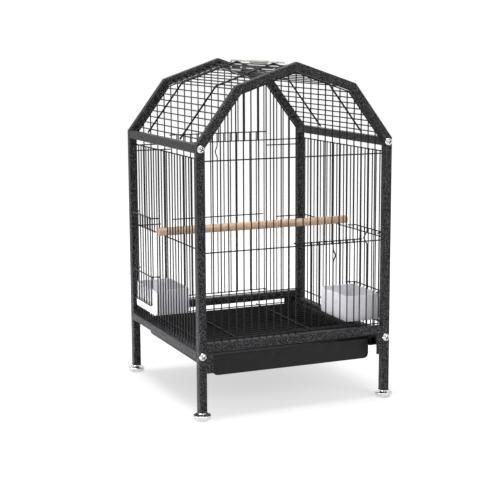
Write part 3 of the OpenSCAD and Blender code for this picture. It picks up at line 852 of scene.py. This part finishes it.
def makeCup(hand):
    # an open box, and at each end a pair of ears that grip an upright between them
    node = f"feeder_cup_{hand}"
    low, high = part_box(node)
    bottom, rim = low.z, high.z
    sign = 1 if hand == "right" else -1
    ear, wall = feeders["ear"], feeders["wall"]
    xs = sorted((sign * (postX + feeders["front"]), low.x if sign > 0 else high.x))
    cup = block(f"{hand}Cup", (xs[0], low.y + ear, bottom), (xs[1], high.y - ear, rim))
    roundEdges(cup, lambda a, b: abs(a.z - b.z) > mm, feeders["cornerRadius"], 6)
    pickFaces(cup, lambda middle, normal: normal.z > 0.9)
    bpy.ops.mesh.inset(thickness=wall)
    bpy.ops.mesh.extrude_region_move(
        TRANSFORM_OT_translate={"value": (0, 0, bottom + wall - rim)})
    bpy.ops.object.mode_set(mode="OBJECT")
    roundEdges(cup, lambda a, b: max(a.z, b.z) < bottom + tiny, feeders["bottomRadius"], 4)
    roundEdges(
        cup, lambda a, b: max(abs(a.z - bottom - wall), abs(b.z - bottom - wall)) < tiny,
        feeders["bottomRadius"] * feeders["insideShare"], 3)
    roundEdges(cup, lambda a, b: min(a.z, b.z) > rim - tiny, feeders["rimEdge"], 2)
    parts = [cup]
    earLow, earHigh = bottom + feeders["earFoot"], rim - feeders["earDrop"]
    for y0, y1 in ((low.y, low.y + ear + wall / 2), (high.y - ear - wall / 2, high.y)):
        for out in (-feeders["earOut"], feeders["earOut"] + feeders["earThick"]):
            x = sign * (postX + out)
            xs = sorted((x, x - sign * feeders["earThick"]))
            plate = block("ear", (xs[0], y0, earLow), (xs[1], y1, earHigh))
            roundEdges(plate, lambda a, b: True, feeders["earEdge"], 2)
            parts.append(plate)
    finishPiece(joinPieces(f"{hand}Cup", parts), "frame", feederPlastic, [node], smooth=40)


perch = {
    "endEdge": 1.2 * mm,
    "slotLength": 16 * mm,
    "slotWidth": 2.6 * mm,
    "sides": 48,
}
tray = {
    "edge": 0.6 * mm,
    "edgeSteps": 3,
}


def makePerch():
    # a rod along X, with a slot in each end for an upright
    low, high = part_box("perch")
    radius = (high.z - low.z) / 2
    clearSelection()
    bpy.ops.mesh.primitive_cylinder_add(
        vertices=perch["sides"], radius=radius, depth=high.x - low.x, location=(low + high) / 2,
        rotation=(0, math.radians(90), 0))
    rod = bpy.context.object
    rod.name = "perchRod"
    applyPlace(rod)
    roundEdges(rod, lambda a, b: abs(a.x - b.x) < tiny, perch["endEdge"], 4)
    half = perch["slotWidth"] / 2
    cutters = []
    for end, inward in ((low.x, 1), (high.x, -1)):
        xs = sorted((end - inward * mm, end + inward * perch["slotLength"]))
        cutters.append(block("cutter", (xs[0], -half, low.z - mm), (xs[1], half, high.z + mm)))
    cutAway(rod, cutters)
    finishPiece(rod, "perch_bar", perchWood, ["perch"])


makeCup("left")
makeCup("right")
makePerch()
drawer = softenedCopy("trayDrawer", "tray", tray["edge"], tray["edgeSteps"])
finishPiece(drawer, "tray_drawer", trayPlastic, ["tray"])
print("feeders, perch and tray made")


# Camera, floor and light

studio = {
    "cameraPlace": (-0.8483, -1.9429, 0.5897),
    "azimuth": -23.364,
    "elevation": 9.644,
    "roll": -0.2385,
    "lens": 92.92,
    "sensorWidth": 36,
    "clip": (0.01, 50),
    "lampAim": (0, 0, 0.28),
    "floorSize": 12,
    "floorShade": 0.6,
    "skyLevel": 0.5,
    "glow": (0.55, 0.7),
    "glowReach": (0.35, 1.4),
}
lamps = {
    "topLamp": {"place": (-0.2, 0.1, 2.3), "size": (1.2, 1.2), "power": 36},
    "frontLamp": {"place": (0.9, -2.4, 1.3), "size": (1.4, 1.2), "power": 20},
    "lowLamp": {"place": (-0.95, 0, 0.05), "size": (0.7, 0.08), "power": 0.8,
                "aim": (-0.165, 0, 0.07), "beamAngle": 40},
}


def makeCamera():
    camera = bpy.data.objects.new("camera", bpy.data.cameras.new("camera"))
    bpy.context.scene.collection.objects.link(camera)
    camera.data.sensor_width = studio["sensorWidth"]
    camera.data.lens = studio["lens"]
    camera.data.clip_start, camera.data.clip_end = studio["clip"]
    turn = (Matrix.Rotation(math.radians(studio["azimuth"]), 4, "Z")
            @ Matrix.Rotation(math.radians(90 - studio["elevation"]), 4, "X")
            @ Matrix.Rotation(math.radians(studio["roll"]), 4, "Z"))
    camera.matrix_world = Matrix.Translation(studio["cameraPlace"]) @ turn
    bpy.context.scene.camera = camera


def addLamp(name, place, size, power, aim=studio["lampAim"], beamAngle=180):
    lamp = bpy.data.objects.new(name, bpy.data.lights.new(name, "AREA"))
    bpy.context.scene.collection.objects.link(lamp)
    lamp.data.shape = "RECTANGLE"
    lamp.data.size, lamp.data.size_y = size
    lamp.data.energy = power
    lamp.data.spread = math.radians(beamAngle)
    lamp.location = place
    lamp.rotation_euler = (Vector(aim) - Vector(place)).to_track_quat("-Z", "Y").to_euler()


def seenRays(tree, links):
    # 1 for what the eye sees, straight or in a reflection or through glass
    rays = tree.new("ShaderNodeLightPath")
    direct = tree.new("ShaderNodeMath")
    direct.operation = "MAXIMUM"
    links.new(rays.outputs["Is Camera Ray"], direct.inputs[0])
    links.new(rays.outputs["Is Glossy Ray"], direct.inputs[1])
    shown = tree.new("ShaderNodeMath")
    shown.operation = "MAXIMUM"
    links.new(direct.outputs[0], shown.inputs[0])
    links.new(rays.outputs["Is Transmission Ray"], shown.inputs[1])
    return shown.outputs[0]


def makeSky():
    # white to the eye and in reflections, and a plain pale light on everything else
    world = bpy.data.worlds.new("studio")
    bpy.context.scene.world = world
    world.use_nodes = True
    tree, links = world.node_tree.nodes, world.node_tree.links
    sky = tree["Background"]
    sky.inputs["Color"].default_value = (1, 1, 1, 1)
    level = tree.new("ShaderNodeMapRange")
    level.inputs["To Min"].default_value = studio["skyLevel"]
    level.inputs["To Max"].default_value = 1.0
    links.new(seenRays(tree, links), level.inputs["Value"])
    links.new(level.outputs["Result"], sky.inputs["Strength"])


def makeFloor():
    clearSelection()
    bpy.ops.mesh.primitive_plane_add(size=studio["floorSize"], location=(0, 0, 0))
    floor = bpy.context.object
    floor.name = "studioFloor"
    finish = bpy.data.materials.new("studio_floor")
    finish.use_nodes = True
    tree, links = finish.node_tree.nodes, finish.node_tree.links
    shader = tree["Principled BSDF"]
    shade = studio["floorShade"]
    shader.inputs["Base Color"].default_value = (shade, shade, shade, 1)
    shader.inputs["Roughness"].default_value = 0.9
    shader.inputs["Specular IOR Level"].default_value = 0.0
    shader.inputs["Emission Color"].default_value = (1, 1, 1, 1)
    # the eye sees it glow a little, more so far from the cage, and the shadow stays
    spot = tree.new("ShaderNodeTexCoord")
    away = tree.new("ShaderNodeVectorMath")
    away.operation = "LENGTH"
    links.new(spot.outputs["Object"], away.inputs[0])
    level = tree.new("ShaderNodeMapRange")
    near, far = studio["glowReach"]
    level.inputs["From Min"].default_value, level.inputs["From Max"].default_value = near, far
    level.inputs["To Min"].default_value, level.inputs["To Max"].default_value = studio["glow"]
    links.new(away.outputs["Value"], level.inputs["Value"])
    glow = tree.new("ShaderNodeMath")
    glow.operation = "MULTIPLY"
    links.new(seenRays(tree, links), glow.inputs[0])
    links.new(level.outputs["Result"], glow.inputs[1])
    links.new(glow.outputs[0], shader.inputs["Emission Strength"])
    floor.data.materials.append(finish)


bpy.context.scene.view_settings.view_transform = "Standard"
makeCamera()
makeSky()
makeFloor()
for lampName, settings in lamps.items():
    addLamp(lampName, **settings)
print("camera, floor and lights placed")
